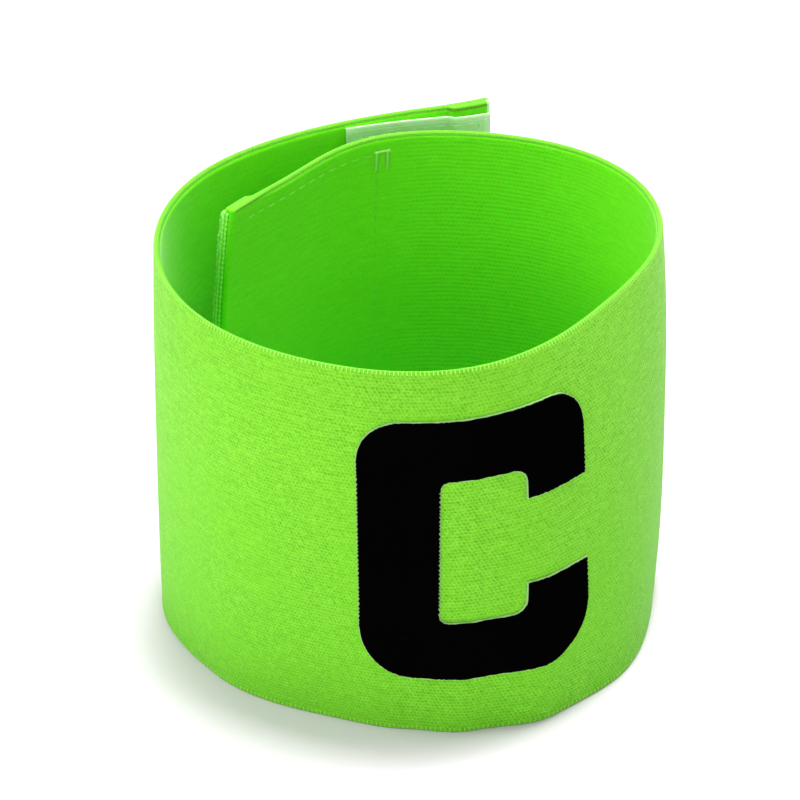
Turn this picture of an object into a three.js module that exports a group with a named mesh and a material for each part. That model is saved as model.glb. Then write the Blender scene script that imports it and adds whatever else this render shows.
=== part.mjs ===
// Captain's armband: an open loop of wide elastic strip that stands on its lower edge.
// Millimetres, +Z up. The viewer is on the -Y side, where the letter is.
import * as THREE from "three";

// Elastic strip
const stripLength = 311;
const stripHeight = 70;
const clothThickness = 1.2;
const selvedgeChamfer = 0.2;
// compass heading of the strip where it starts, in degrees from +X
const startHeading = 55;

// Hems: the cloth folded back and pressed flat at the two ends
const innerHemDepth = 6;
const outerHemDepth = 7.5;
const hemLayerThickness = 0.7;
const hemStepLength = 1;
const foldRounding = 0.4;

// Fastening patches sewn to the ends
const hookPatchLength = 25;
const hookPatchThickness = 0.7;
const hookPatchMargin = 1.4;
const hookPatchSetback = 0.9;
const loopPatchLength = 35.5;
const loopPatchThickness = 0.8;
const loopPatchMargin = 1.6;
const loopPatchSetback = 0.7;

// Captain's letter, flat on the outer face
const letterWidth = 38.5;
const letterHeight = 49.7;
const letterThickness = 0.4;
const letterLeftAlong = 175.2;
const letterBaseHeight = 11.3;
const letterStem = 13;
const letterBar = 11.1;
const letterTerminalWidth = 11.4;
const letterTerminalDrop = 16.8;
const letterUpperRadius = 7.4;
const letterLowerRadius = 9.3;
const letterCounterRadius = 1.6;
const letterMouthRadius = 2.6;

// Gap left between pieces that are sewn or printed on each other
const layerGap = 0.15;

// Spacing of the sections along the strip, and rows of faces up a wall
const sectionSpacing = 2.4;
const wallRows = 6;
const letterRows = [2, 4, 2];

// Course of the strip from its inner end to its outer end.
// along: share of the strip length. bend: turn to the left in degrees, per whole strip length.
// lean: how far the lower edge stands out past the upper edge, as a share of the strip height.
// bulge: how far the middle of the wall stands out past its two edges, as a share of the height.
const course = [
  { along: 0.0, bend: -296, lean: 0.065, bulge: 0.013 },
  { along: 0.05, bend: 137, lean: 0.06, bulge: 0.013 },
  { along: 0.1, bend: -843, lean: 0.031, bulge: 0.013 },
  { along: 0.17, bend: -359, lean: 0.017, bulge: 0.013 },
  { along: 0.25, bend: -642, lean: 0.008, bulge: 0.015 },
  { along: 0.33, bend: -558, lean: 0.003, bulge: 0.016 },
  { along: 0.41, bend: -96, lean: 0.066, bulge: 0.016 },
  { along: 0.46, bend: -426, lean: 0.04, bulge: 0.015 },
  { along: 0.5, bend: -691, lean: -0.013, bulge: 0.014 },
  { along: 0.54, bend: -522, lean: -0.045, bulge: 0.0135 },
  { along: 0.58, bend: -354, lean: -0.056, bulge: 0.013 },
  { along: 0.66, bend: -470, lean: -0.031, bulge: 0.008 },
  { along: 0.74, bend: -404, lean: 0.001, bulge: 0.005 },
  { along: 0.82, bend: -495, lean: -0.004, bulge: 0.006 },
  { along: 0.9, bend: -227, lean: 0.008, bulge: 0.01 },
  { along: 0.95, bend: -160, lean: 0.009, bulge: 0.01 },
  { along: 1.0, bend: 499, lean: -0.006, bulge: 0.01 },
];

const radians = THREE.MathUtils.degToRad;

function easeBetween(from, to, t) {
  return from + (to - from) * t * t * (3 - 2 * t);
}

// A column of the course at any share of the strip length
function courseValue(along, column) {
  const last = course.length - 2;
  let row = 0;
  while (row < last && course[row + 1].along <= along) row += 1;
  const before = course[row];
  const after = course[row + 1];
  const t = THREE.MathUtils.clamp((along - before.along) / (after.along - before.along), 0, 1);
  return easeBetween(before[column], after[column], t);
}

// Walks along the upper edge in short steps and keeps the place and heading of each
function traceUpperEdge() {
  const steps = 1200;
  const stepLength = stripLength / steps;
  const turnPerStep = (along) => radians(courseValue(along, "bend")) / steps;
  const trace = [{ x: 0, y: 0, heading: radians(startHeading) }];
  for (let step = 0; step < steps; step += 1) {
    const here = trace[step];
    const turn = turnPerStep((step + 0.5) / steps);
    const middle = here.heading + turn / 2;
    trace.push({
      x: here.x + Math.cos(middle) * stepLength,
      y: here.y + Math.sin(middle) * stepLength,
      heading: here.heading + turn,
    });
  }
  return trace;
}

const upperEdge = traceUpperEdge();

// Place and outward direction at a distance from the inner end
function placeAt(distance) {
  const exact = THREE.MathUtils.clamp(distance / stripLength, 0, 1) * (upperEdge.length - 1);
  const index = Math.min(Math.floor(exact), upperEdge.length - 2);
  const t = exact - index;
  const before = upperEdge[index];
  const after = upperEdge[index + 1];
  const heading = THREE.MathUtils.lerp(before.heading, after.heading, t);
  return {
    x: THREE.MathUtils.lerp(before.x, after.x, t),
    y: THREE.MathUtils.lerp(before.y, after.y, t),
    outX: -Math.sin(heading),
    outY: Math.cos(heading),
  };
}

// A point of the wall: distance from the inner end, height over the floor, offset outward
// from the middle of the cloth
function wallPoint(distance, height, offset) {
  const place = placeAt(distance);
  const upShare = height / stripHeight;
  const lean = courseValue(distance / stripLength, "lean") * stripHeight * (1 - upShare);
  const fullness = 1 - Math.abs(2 * upShare - 1) ** 3;
  const bulge = courseValue(distance / stripLength, "bulge") * stripHeight * fullness;
  const out = offset + lean + bulge;
  return new THREE.Vector3(place.x + place.outX * out, place.y + place.outY * out, height);
}

// Folded cloth rises to a second layer over the length of a hem
function hemLayer(distanceFromEnd, hemDepth) {
  const t = THREE.MathUtils.clamp((hemDepth - distanceFromEnd) / hemStepLength, 0, 1);
  return hemLayerThickness * easeBetween(0, 1, t);
}

const outerFaceAt = (distance) => clothThickness / 2 + hemLayer(distance, innerHemDepth);
const innerFaceAt = (distance) =>
  -clothThickness / 2 - hemLayer(stripLength - distance, outerHemDepth);

// Distances of the sections between two ends: a shared grid, both ends and any extra places
function sectionDistances(from, to, extras = []) {
  const count = Math.round(stripLength / sectionSpacing);
  const grid = Array.from({ length: count + 1 }, (_, i) => (i * stripLength) / count);
  const wanted = [...grid, ...extras].filter((d) => d > from + 0.25 && d < to - 0.25);
  const sorted = [from, ...wanted, to].sort((a, b) => a - b);
  return sorted.filter((d, i) => i === 0 || d - sorted[i - 1] > 0.2);
}

// Closed body from a ring of points at each section
function geometryFromRings(rings) {
  const positions = [];
  const faces = [];
  const ringSize = rings[0].length;
  rings.forEach((ring) => ring.forEach((point) => positions.push(point.x, point.y, point.z)));
  for (let r = 0; r < rings.length - 1; r += 1) {
    for (let i = 0; i < ringSize; i += 1) {
      const next = (i + 1) % ringSize;
      const a = r * ringSize + i;
      const b = r * ringSize + next;
      faces.push(a, b, b + ringSize, a, b + ringSize, a + ringSize);
    }
  }
  // a wall's ring is two rows of equal length, so each end closes as a ladder
  const lastRing = (rings.length - 1) * ringSize;
  for (let i = 0; i < ringSize / 2 - 1; i += 1) {
    const far = ringSize - 1 - i;
    faces.push(i, far, far - 1, i, far - 1, i + 1);
    faces.push(lastRing + i, lastRing + far - 1, lastRing + far);
    faces.push(lastRing + i, lastRing + i + 1, lastRing + far - 1);
  }
  const geometry = new THREE.BufferGeometry();
  geometry.setAttribute("position", new THREE.Float32BufferAttribute(positions, 3));
  geometry.setIndex(faces);
  geometry.computeVertexNormals();
  return geometry;
}

// A standing wall of cloth between two distances, heights and face offsets
function wallGeometry({ distances, bottom, top, outerAt, innerAt, chamfer, rows }) {
  const sideHeights = [bottom + chamfer];
  for (let row = 1; row < rows; row += 1) {
    sideHeights.push(bottom + ((top - bottom) * row) / rows);
  }
  sideHeights.push(top - chamfer);
  const rings = distances.map((distance) => {
    const outer = outerAt(distance);
    const inner = innerAt(distance);
    const innerSide = sideHeights.map((height) => wallPoint(distance, height, inner));
    const outerSide = sideHeights.map((height) => wallPoint(distance, height, outer));
    return [
      wallPoint(distance, bottom, outer - chamfer),
      ...outerSide,
      wallPoint(distance, top, outer - chamfer),
      wallPoint(distance, top, inner + chamfer),
      ...innerSide.reverse(),
      wallPoint(distance, bottom, inner + chamfer),
    ];
  });
  return geometryFromRings(rings);
}

// The strip itself, with both hems and softly rounded fold noses
function stripGeometry() {
  const noseLength = foldRounding * 1.5;
  const nose = (distance) => {
    const fromEnd = Math.min(distance, stripLength - distance);
    return fromEnd < noseLength / 2 ? foldRounding : 0;
  };
  const extras = [
    noseLength,
    innerHemDepth - hemStepLength,
    innerHemDepth - hemStepLength / 2,
    innerHemDepth,
    stripLength - outerHemDepth,
    stripLength - outerHemDepth + hemStepLength / 2,
    stripLength - outerHemDepth + hemStepLength,
    stripLength - noseLength,
  ];
  return wallGeometry({
    distances: sectionDistances(0, stripLength, extras),
    bottom: 0,
    top: stripHeight,
    outerAt: (distance) => outerFaceAt(distance) - nose(distance),
    innerAt: (distance) => innerFaceAt(distance) + nose(distance),
    chamfer: selvedgeChamfer,
    rows: wallRows,
  });
}

// Soft loop patch on the outside of the inner end
function loopPatchGeometry() {
  const near = (distance) => outerFaceAt(distance) + layerGap;
  const extras = [
    innerHemDepth - hemStepLength,
    innerHemDepth - hemStepLength / 2,
    innerHemDepth,
  ];
  return wallGeometry({
    distances: sectionDistances(loopPatchSetback, loopPatchSetback + loopPatchLength, extras),
    bottom: loopPatchMargin,
    top: stripHeight - loopPatchMargin,
    outerAt: (distance) => near(distance) + loopPatchThickness,
    innerAt: near,
    chamfer: loopPatchThickness / 5,
    rows: wallRows,
  });
}

// Hook patch on the inside of the outer end
function hookPatchGeometry() {
  const near = (distance) => innerFaceAt(distance) - layerGap;
  const end = stripLength - hookPatchSetback;
  const extras = [
    stripLength - outerHemDepth,
    stripLength - outerHemDepth + hemStepLength / 2,
    stripLength - outerHemDepth + hemStepLength,
  ];
  return wallGeometry({
    distances: sectionDistances(end - hookPatchLength, end, extras),
    bottom: hookPatchMargin,
    top: stripHeight - hookPatchMargin,
    outerAt: near,
    innerAt: (distance) => near(distance) - hookPatchThickness,
    chamfer: hookPatchThickness / 5,
    rows: wallRows,
  });
}

// How far a round corner cuts in at a distance from the letter's side
function cornerCut(fromSide, radius) {
  if (fromSide >= radius) return 0;
  const rest = radius - Math.max(fromSide, 0);
  return radius - Math.sqrt(radius * radius - rest * rest);
}

// The letter's columns from its left side to its right side.
// Each holds four heights down from the letter's top: the outline's top, the counter's top,
// the counter's bottom and the outline's bottom.
function letterColumns() {
  const terminalLeft = letterWidth - letterTerminalWidth;
  const counterEnd = terminalLeft - 0.15;
  const arcSteps = [0, 0.08, 0.3, 0.62, 1];
  const across = new Set([letterStem, counterEnd, terminalLeft]);
  arcSteps.forEach((step) => {
    [letterUpperRadius, letterLowerRadius].forEach((radius) => {
      across.add(step * radius);
      across.add(letterWidth - step * radius);
    });
    across.add(letterStem + step * letterCounterRadius);
    across.add(counterEnd - step * letterMouthRadius);
  });
  const plainColumns = Math.ceil(letterWidth / sectionSpacing);
  for (let i = 1; i < plainColumns; i += 1) across.add((i * letterWidth) / plainColumns);
  const sorted = [...across].sort((a, b) => a - b);
  const fixed = [0, letterStem, counterEnd, terminalLeft, letterWidth];
  const isFixed = (u) => fixed.includes(u);
  const kept = sorted.filter((u) => {
    if (u < 0 || u > letterWidth) return false;
    return isFixed(u) || fixed.every((edge) => Math.abs(u - edge) > 0.1);
  });
  const spaced = [];
  kept.forEach((u) => {
    if (spaced.length === 0 || isFixed(u) || u - spaced[spaced.length - 1] > 0.1) spaced.push(u);
  });
  return spaced.map((u) => {
    const fromSide = Math.min(u, letterWidth - u);
    const upperCut = cornerCut(fromSide, letterUpperRadius);
    const lowerCut = cornerCut(fromSide, letterLowerRadius);
    const counterCut = Math.max(
      cornerCut(u - letterStem, letterCounterRadius),
      cornerCut(counterEnd - u, letterMouthRadius),
    );
    const inTerminal = u > counterEnd + 0.01;
    const reach = inTerminal ? letterTerminalDrop : letterBar + counterCut;
    return {
      across: u,
      levels: [upperCut, reach, letterHeight - reach, letterHeight - lowerCut],
      solid: u < letterStem - 0.01,
    };
  });
}

// Heights of one column, with each stretch between two levels split into rows
function columnHeights(levels) {
  const heights = [levels[0]];
  letterRows.forEach((rows, stretch) => {
    for (let row = 1; row <= rows; row += 1) {
      const t = row / rows;
      heights.push(THREE.MathUtils.lerp(levels[stretch], levels[stretch + 1], t));
    }
  });
  return heights.map((down) => letterBaseHeight + letterHeight - down);
}

// Thin block letter C bent onto the outer face
function letterGeometry() {
  const columns = letterColumns();
  const perSide = letterRows.reduce((sum, rows) => sum + rows, 1);
  const positions = [];
  columns.forEach(({ across, levels }) => {
    const distance = letterLeftAlong - across;
    const near = outerFaceAt(distance) + layerGap;
    [near + letterThickness, near].forEach((offset) => {
      columnHeights(levels).forEach((height) => {
        const point = wallPoint(distance, height, offset);
        positions.push(point.x, point.y, point.z);
      });
    });
  });
  const front = (column, level) => column * perSide * 2 + level;
  const back = (column, level) => front(column, level) + perSide;
  const faces = [];
  const quad = (a, b, c, d) => faces.push(a, b, c, a, c, d);
  const counterTop = letterRows[0];
  const counterBottom = letterRows[0] + letterRows[1];
  const inCounter = (level) => level >= counterTop && level < counterBottom;
  const filled = (column, level) => columns[column].solid || !inCounter(level);
  for (let c = 0; c < columns.length - 1; c += 1) {
    for (let level = 0; level < perSide - 1; level += 1) {
      if (!filled(c, level)) continue;
      quad(front(c, level), front(c, level + 1), front(c + 1, level + 1), front(c + 1, level));
      quad(back(c, level), back(c + 1, level), back(c + 1, level + 1), back(c, level + 1));
    }
    quad(front(c, 0), front(c + 1, 0), back(c + 1, 0), back(c, 0));
    const foot = perSide - 1;
    quad(front(c, foot), back(c, foot), back(c + 1, foot), front(c + 1, foot));
    if (columns[c].solid) continue;
    quad(front(c, counterTop), back(c, counterTop), back(c + 1, counterTop), front(c + 1, counterTop));
    const sill = counterBottom;
    quad(front(c, sill), front(c + 1, sill), back(c + 1, sill), back(c, sill));
  }
  const lastColumn = columns.length - 1;
  const stemColumn = columns.findIndex(({ solid }) => !solid);
  for (let level = 0; level < perSide - 1; level += 1) {
    quad(front(0, level), back(0, level), back(0, level + 1), front(0, level + 1));
    const side = inCounter(level) ? stemColumn : lastColumn;
    quad(front(side, level), front(side, level + 1), back(side, level + 1), back(side, level));
  }
  const geometry = new THREE.BufferGeometry();
  geometry.setAttribute("position", new THREE.Float32BufferAttribute(positions, 3));
  geometry.setIndex(faces);
  geometry.computeVertexNormals();
  return geometry;
}

function piece(name, geometry, look) {
  const mesh = new THREE.Mesh(geometry, new THREE.MeshStandardMaterial({ metalness: 0, ...look }));
  mesh.name = name;
  return mesh;
}

const armband = new THREE.Group();
armband.name = "captain_armband";
armband.add(
  piece("elastic_strip", stripGeometry(), { color: 0x8ee73c, roughness: 0.85 }),
  piece("loop_patch", loopPatchGeometry(), { color: 0x90cf85, roughness: 0.95 }),
  piece("hook_patch", hookPatchGeometry(), { color: 0xa9dba0, roughness: 0.6 }),
  piece("captain_letter", letterGeometry(), { color: 0x0b0b0b, roughness: 0.7 }),
);

// The origin is on the floor, under the middle of the whole armband
const wholeBox = new THREE.Box3().setFromObject(armband);
const wholeMiddle = wholeBox.getCenter(new THREE.Vector3());
armband.position.set(-wholeMiddle.x, -wholeMiddle.y, -wholeBox.min.z);
armband.updateMatrixWorld(true);

export default armband;
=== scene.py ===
import math
import random

import bpy
import numpy as np
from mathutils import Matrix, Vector


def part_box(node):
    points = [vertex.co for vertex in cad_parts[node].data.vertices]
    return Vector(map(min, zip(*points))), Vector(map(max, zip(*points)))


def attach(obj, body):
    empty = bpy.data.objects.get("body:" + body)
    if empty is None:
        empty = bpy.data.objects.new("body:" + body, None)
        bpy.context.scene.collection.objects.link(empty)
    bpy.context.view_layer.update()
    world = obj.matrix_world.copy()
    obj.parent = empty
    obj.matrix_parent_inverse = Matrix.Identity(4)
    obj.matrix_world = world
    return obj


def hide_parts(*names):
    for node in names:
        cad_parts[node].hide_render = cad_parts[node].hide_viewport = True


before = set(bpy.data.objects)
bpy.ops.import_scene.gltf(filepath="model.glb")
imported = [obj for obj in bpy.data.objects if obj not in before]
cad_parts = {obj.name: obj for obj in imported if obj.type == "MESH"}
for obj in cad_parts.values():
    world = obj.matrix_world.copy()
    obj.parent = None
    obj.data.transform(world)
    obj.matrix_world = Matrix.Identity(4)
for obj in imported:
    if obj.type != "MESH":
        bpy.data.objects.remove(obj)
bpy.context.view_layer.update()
scene = bpy.context.scene

# Camera: a long lens that looks down on the band
cameraSetup = {
    "aim": (-0.00187, 0.00681, 0.03307),
    "distance": 0.900,
    "elevation": 31.49,
    "lens": 240.85,
    "sensorWidth": 36.0,
    "farthest": 20.0,
}


def placeCamera(setup):
    data = bpy.data.cameras.new("view_camera")
    data.lens = setup["lens"]
    data.sensor_width = setup["sensorWidth"]
    data.sensor_fit = "HORIZONTAL"
    data.clip_end = setup["farthest"]
    camera = bpy.data.objects.new("view_camera", data)
    up = math.radians(setup["elevation"])
    back = Vector((0.0, -math.cos(up), math.sin(up)))
    camera.location = Vector(setup["aim"]) + back * setup["distance"]
    camera.rotation_euler = back.to_track_quat("Z", "Y").to_euler()
    scene.collection.objects.link(camera)
    scene.camera = camera


placeCamera(cameraSetup)
scene.view_settings.view_transform = "Standard"
print("camera placed")

# Course of the strip, from its inner end round the back, right, front and left to its outer end.
# along is a share of the length, bend is degrees of turn per whole length,
# lean and bulge are shares of the height
stripShape = {
    "length": 0.311,
    "height": 0.070,
    "cloth": 0.0012,
    "startHeading": 55.0,
    "innerHem": 0.006,
    "outerHem": 0.0075,
    "hemLayer": 0.0007,
    "hemStep": 0.0010,
    "along": [0.0, 0.05, 0.10, 0.17, 0.25, 0.33, 0.41, 0.46, 0.50, 0.54, 0.58, 0.66, 0.74, 0.82,
              0.90, 0.95, 1.0],
    "bend": [-296, 137, -843, -359, -642, -558, -96, -426, -691, -522, -354, -470, -404, -495,
             -227, -160, 499],
    "lean": [0.065, 0.06, 0.031, 0.017, 0.008, 0.003, 0.066, 0.04, -0.013, -0.045, -0.056, -0.031,
             0.001, -0.004, 0.008, 0.009, -0.006],
    "bulge": [0.013, 0.013, 0.013, 0.013, 0.015, 0.016, 0.016, 0.015, 0.014, 0.0135, 0.013, 0.008,
              0.005, 0.006, 0.01, 0.01, 0.01],
}


def eased(shares, column):
    knots = np.array(stripShape["along"])
    values = np.array(stripShape[column], float)
    row = np.clip(np.searchsorted(knots, shares, side="right") - 1, 0, len(knots) - 2)
    t = np.clip((shares - knots[row]) / (knots[row + 1] - knots[row]), 0, 1)
    return values[row] + (values[row + 1] - values[row]) * t * t * (3 - 2 * t)


def traceStrip(steps=2400):
    middle = (np.arange(steps) + 0.5) / steps
    turn = np.radians(eased(middle, "bend")) / steps
    heading = math.radians(stripShape["startHeading"]) + np.concatenate([[0], np.cumsum(turn)])
    half = heading[:-1] + turn / 2
    pace = stripShape["length"] / steps
    x = np.concatenate([[0], np.cumsum(np.cos(half) * pace)])
    y = np.concatenate([[0], np.cumsum(np.sin(half) * pace)])
    return np.linspace(0, stripShape["length"], steps + 1), x, y, heading


traceAt, traceX, traceY, traceHeading = traceStrip()
stripShift = np.zeros(2)


def wallPoint(distance, height, offset):
    # distance from the inner end, height over the floor, offset outward from the cloth's middle
    distance, height, offset = np.broadcast_arrays(distance, height, offset)
    share = distance / stripShape["length"]
    heading = np.interp(distance, traceAt, traceHeading)
    up = height / stripShape["height"]
    lean = eased(share, "lean") * stripShape["height"] * (1 - up)
    bulge = eased(share, "bulge") * stripShape["height"] * (1 - np.abs(2 * up - 1) ** 3)
    out = offset + lean + bulge
    x = np.interp(distance, traceAt, traceX) - np.sin(heading) * out + stripShift[0]
    y = np.interp(distance, traceAt, traceY) + np.cos(heading) * out + stripShift[1]
    return np.stack([x, y, height], -1)


def hemRise(fromEnd, depth):
    t = np.clip((depth - fromEnd) / stripShape["hemStep"], 0, 1)
    return stripShape["hemLayer"] * t * t * (3 - 2 * t)


def outerFace(distance):
    return stripShape["cloth"] / 2 + hemRise(distance, stripShape["innerHem"])


def innerFace(distance):
    fromEnd = stripShape["length"] - distance
    return -stripShape["cloth"] / 2 - hemRise(fromEnd, stripShape["outerHem"])


def alignToFrame():
    # the solid's box gives the one shift between the traced course and the row frame
    low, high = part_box("elastic_strip")
    distance = np.linspace(0, stripShape["length"], 1200)[:, None]
    heights = np.linspace(0, stripShape["height"], 15)[None, :]
    outer = wallPoint(distance, heights, outerFace(distance)).reshape(-1, 3)
    inner = wallPoint(distance, heights, innerFace(distance)).reshape(-1, 3)
    both = np.concatenate([outer, inner])
    for axis in (0, 1):
        made = (both[:, axis].min() + both[:, axis].max()) / 2
        stripShift[axis] = (low[axis] + high[axis]) / 2 - made


alignToFrame()
print("course traced, shift", stripShift.round(5).tolist())


def makeObject(name, points, faces, materials, faceMaterials=None, uv=None, smooth=True):
    # faces are an array of quads, or a list where their corners differ in number
    mesh = bpy.data.meshes.new(name)
    faceList = faces.tolist() if isinstance(faces, np.ndarray) else faces
    mesh.from_pydata(np.asarray(points).reshape(-1, 3).tolist(), [], faceList)
    for material in materials:
        mesh.materials.append(material)
    if faceMaterials is not None:
        mesh.polygons.foreach_set("material_index", np.asarray(faceMaterials, np.int32))
    if uv is not None:
        layer = mesh.uv_layers.new(name="cloth")
        corners = np.zeros(len(mesh.loops), np.int32)
        mesh.loops.foreach_get("vertex_index", corners)
        layer.uv.foreach_set("vector", np.asarray(uv, np.float32).reshape(-1, 2)[corners].ravel())
    mesh.polygons.foreach_set("use_smooth", np.full(len(mesh.polygons), smooth))
    mesh.update()
    piece = bpy.data.objects.new(name, mesh)
    scene.collection.objects.link(piece)
    return piece


def ringFaces(stations, ring):
    # quads between neighbouring rings, then both ends closed like a ladder
    s, i = np.meshgrid(np.arange(stations - 1), np.arange(ring), indexing="ij")
    a = s * ring + i
    b = s * ring + (i + 1) % ring
    sides = np.stack([a, b, b + ring, a + ring], -1).reshape(-1, 4)
    rungs = np.arange(ring // 2 - 1)
    far = ring - 1 - rungs
    start = np.stack([rungs, far, far - 1, rungs + 1], -1)
    last = (stations - 1) * ring
    end = np.stack([rungs, rungs + 1, far - 1, far], -1) + last
    return np.concatenate([sides, start, end])


def tubeMesh(paths, radius, sides=4):
    # many short threads in one mesh; each path is an array of points, radius a number or a list
    points, faces, at = [], [], 0
    turn = np.arange(sides) * 2 * math.pi / sides
    slanting = np.array([0.31, 0.17, 0.93])  # no thread runs this way
    for index, path in enumerate(paths):
        path = np.asarray(path, float)
        count = len(path)
        thick = radius if np.isscalar(radius) else radius[index]
        thick = np.broadcast_to(thick, (count,))
        along = np.gradient(path, axis=0)
        along /= np.linalg.norm(along, axis=1)[:, None] + 1e-12
        side = np.cross(along, slanting)
        side /= np.linalg.norm(side, axis=1)[:, None] + 1e-12
        over = np.cross(along, side)
        ring = (path[:, None, :]
                + thick[:, None, None] * (np.cos(turn)[None, :, None] * side[:, None, :]
                                          + np.sin(turn)[None, :, None] * over[:, None, :]))
        points.append(ring.reshape(-1, 3))
        s, i = np.meshgrid(np.arange(count - 1), np.arange(sides), indexing="ij")
        a = at + s * sides + i
        b = at + s * sides + (i + 1) % sides
        faces += np.stack([a, a + sides, b + sides, b], -1).reshape(-1, 4).tolist()
        faces.append([at + k for k in range(sides)])
        faces.append([at + (count - 1) * sides + k for k in reversed(range(sides))])
        at += count * sides
    return np.concatenate(points), faces


def makeThreads(name, paths, radius, material, sides=4):
    points, faces = tubeMesh(paths, radius, sides)
    return makeObject(name, points, faces, [material])


class NodeSheet:
    # a short way to lay out a material's nodes
    def __init__(self, name):
        self.material = bpy.data.materials.new(name)
        self.material.use_nodes = True
        self.tree = self.material.node_tree
        self.shader = self.tree.nodes["Principled BSDF"]

    def node(self, kind, **settings):
        made = self.tree.nodes.new(kind)
        for key, value in settings.items():
            setattr(made, key, value)
        return made

    def feed(self, socket, value):
        if isinstance(value, bpy.types.NodeSocket):
            self.tree.links.new(value, socket)
        else:
            socket.default_value = value

    def math(self, operation, *values):
        made = self.node("ShaderNodeMath", operation=operation)
        for socket, value in zip(made.inputs, values):
            self.feed(socket, value)
        return made.outputs[0]

    def mix(self, share, first, second):
        made = self.node("ShaderNodeMix", data_type="RGBA")
        self.feed(made.inputs[0], share)
        self.feed(made.inputs[6], first)
        self.feed(made.inputs[7], second)
        return made.outputs[2]

    def noise(self, scale, detail=3.0, rough=0.5, vector=None):
        made = self.node("ShaderNodeTexNoise")
        made.inputs["Scale"].default_value = scale
        made.inputs["Detail"].default_value = detail
        made.inputs["Roughness"].default_value = rough
        if vector is None:
            vector = self.node("ShaderNodeTexCoord").outputs["Object"]
        self.feed(made.inputs["Vector"], vector)
        return made.outputs["Fac"]

    def clothPlace(self):
        # distance along the strip and height on it, in metres
        split = self.node("ShaderNodeSeparateXYZ")
        self.feed(split.inputs[0], self.node("ShaderNodeUVMap", uv_map="cloth").outputs[0])
        return split.outputs[0], split.outputs[1]

    def bump(self, height, strength, distance):
        made = self.node("ShaderNodeBump")
        made.inputs["Strength"].default_value = strength
        made.inputs["Distance"].default_value = distance
        self.feed(made.inputs["Height"], height)
        self.feed(self.shader.inputs["Normal"], made.outputs[0])

    def add(self, *values):
        total = values[0]
        for value in values[1:]:
            total = self.math("ADD", total, value)
        return total

    def minus(self, first, second):
        return self.math("SUBTRACT", first, second)

    def times(self, first, second):
        return self.math("MULTIPLY", first, second)

    def over(self, first, second):
        return self.math("DIVIDE", first, second)

    def between(self, value, low, high):
        return self.math("MAXIMUM", self.math("MINIMUM", value, high), low)

    def base(self, colour, roughness, uniform):
        # uniform holds the sockets that are the same all over
        self.feed(self.shader.inputs["Base Color"], colour)
        self.feed(self.shader.inputs["Roughness"], roughness)
        for socket, value in uniform.items():
            self.shader.inputs[socket].default_value = value
        return self.material


# Elastic webbing: fine knit outside, ribs along the strip inside
webbing = {
    "ribPitch": 0.00083,
    "outerRib": 0.000016,
    "innerRib": 0.000030,
    "stations": 118,
    "pointsPerRib": 4,
    "plainEdge": 0.0009,  # no ribs along each selvedge
    "ribFade": 0.0006,
    "edgeTaper": 0.0013,  # the cloth thins towards its upper edge
    "edgeThin": 0.36,
    "foldedTo": 0.0055,
    "thinFrom": 0.0090,
    "lowerTaper": 0.0008,
    "lowerThin": 0.25,
    "lip": 0.0006,
    "lipRound": 0.00035,
    "nose": 0.0007,
    "noseRibs": 2.2,  # on a nose the ribs push along the strip instead
    "stretchedFrom": 0.036,  # the ribs inside show most where the cloth is stretched
    "stretchedTo": 0.082,
}
weave = {
    "patchScale": 70.0,
    "swayScale": 190.0,
    "fibreScale": 3000.0,
    "streaksAlong": 260.0,
    "streaksUp": 1500.0,
    "streakContrast": 1.8,
    "sway": 0.9,
    "leastRibs": 0.06,  # share of the ribs that shows on slack cloth
    "riseLength": 0.008,
    "fallLength": 0.020,
    "dotHigh": 0.40,  # shares of a cell
    "dotWide": 0.34,
    "unevenness": 0.8,
    "lowerShade": 0.050,  # painted shade: the cloth is darker below this height
    "lowerShadeShare": 0.95,
    "roughness": 0.66,
}
# the darkest colour of each cloth is painted shade for the knit's pits, the brightest a painted
# highlight on its raised loops
outerCloth = {
    "lit": (0.206, 0.635, 0.0245, 1),
    "mid": (0.136, 0.485, 0.0100, 1),
    "pitShade": (0.060, 0.340, 0.0040, 1),
    "loopHighlight": (0.320, 0.790, 0.0620, 1),
    # the low colour is painted shade towards the lower edge
    "low": (0.128, 0.490, 0.0110, 1),
    "rowPitch": 0.00062,
    "columnPitch": 0.00066,
    "jitter": 1.6,
    "pitShadeTone": 0.95,
    "glintTone": 0.90,
    "streakTone": 0.85,
    "lineTone": 0.0,
    "bumpDepth": 0.00012,
    "through": 0.12,
}
# the inside colours are painted brighter and greener than the outside: painted light standing in
# for light that comes through the cloth
innerCloth = {
    "lit": (0.176, 0.745, 0.0105, 1),
    "mid": (0.126, 0.650, 0.0060, 1),
    "pitShade": (0.055, 0.450, 0.0025, 1),
    "loopHighlight": (0.250, 0.780, 0.0350, 1),
    # the low colour is painted shade towards the lower edge
    "low": (0.010, 0.455, 0.0015, 1),
    "rowPitch": 0.00083,
    "columnPitch": 0.00070,
    "jitter": 0.8,
    "pitShadeTone": 0.38,
    "glintTone": 0.35,
    "streakTone": 0.75,
    "lineTone": 0.38,
    "bumpDepth": 0.00006,
    "through": 0.8,
}


def clothDots(sheet, inRow, inColumn, most):
    # round dots in the cells of the knit, 1 in their middle
    high = sheet.math("POWER", sheet.over(inRow, weave["dotHigh"]), 2.0)
    wide = sheet.math("POWER", sheet.over(inColumn, weave["dotWide"]), 2.0)
    dots = sheet.minus(1.0, sheet.math("MINIMUM", sheet.add(high, wide), 1.0))
    return sheet.times(dots, most)


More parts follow.
